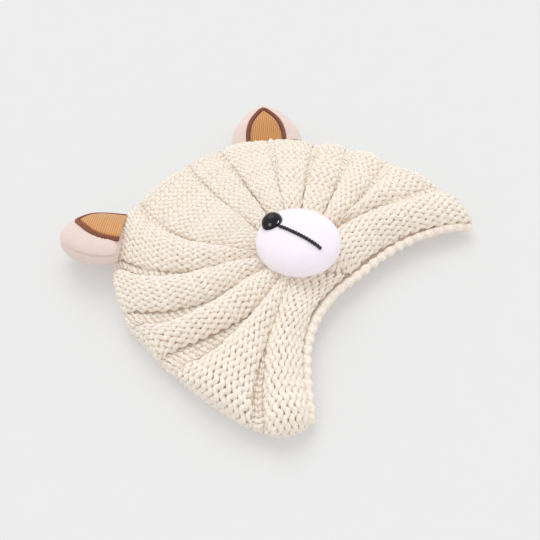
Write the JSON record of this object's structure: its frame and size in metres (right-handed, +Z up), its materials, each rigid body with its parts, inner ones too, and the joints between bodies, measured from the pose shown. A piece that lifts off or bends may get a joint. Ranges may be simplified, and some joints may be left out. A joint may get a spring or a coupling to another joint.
{
  "type": "knitted baby turban cap with bear ears",
  "caption": "Chunky knitted baby turban cap lying flat, its welts gathered under a stuffed round muzzle, with two padded ears at the crown.",
  "frame": {"origin": "middle of the footprint, on the surface that the cap lies on", "axes": "+Z up out of the face of the cap, +Y from the brow edge to the crown, +X to the right of the face as it is seen, across the cap from tip to tip"},
  "size_m": [0.209, 0.196, 0.0361],
  "materials": {
    "yarn": "soft matt acrylic yarn, chunky plied knit",
    "muzzle_plush": "smooth short plush, white",
    "nose_plastic": "polished",
    "mouth_thread": "embroidery thread",
    "ear_plush": "short velvet plush, pale pink",
    "ear_corduroy": "fine ribbed cloth, tan orange",
    "ear_satin": "satin stitch, reddish brown"
  },
  "bodies": {
    "root": {"knit_cap": "yarn", "brow_edging": "yarn", "muzzle": "muzzle_plush", "nose": "nose_plastic", "mouth": "mouth_thread", "ear_right": "ear_plush", "ear_right_panel": "ear_corduroy", "ear_right_trim": "ear_satin", "ear_left": "ear_plush", "ear_left_panel": "ear_corduroy", "ear_left_trim": "ear_satin"}
  },
  "joints": []
}
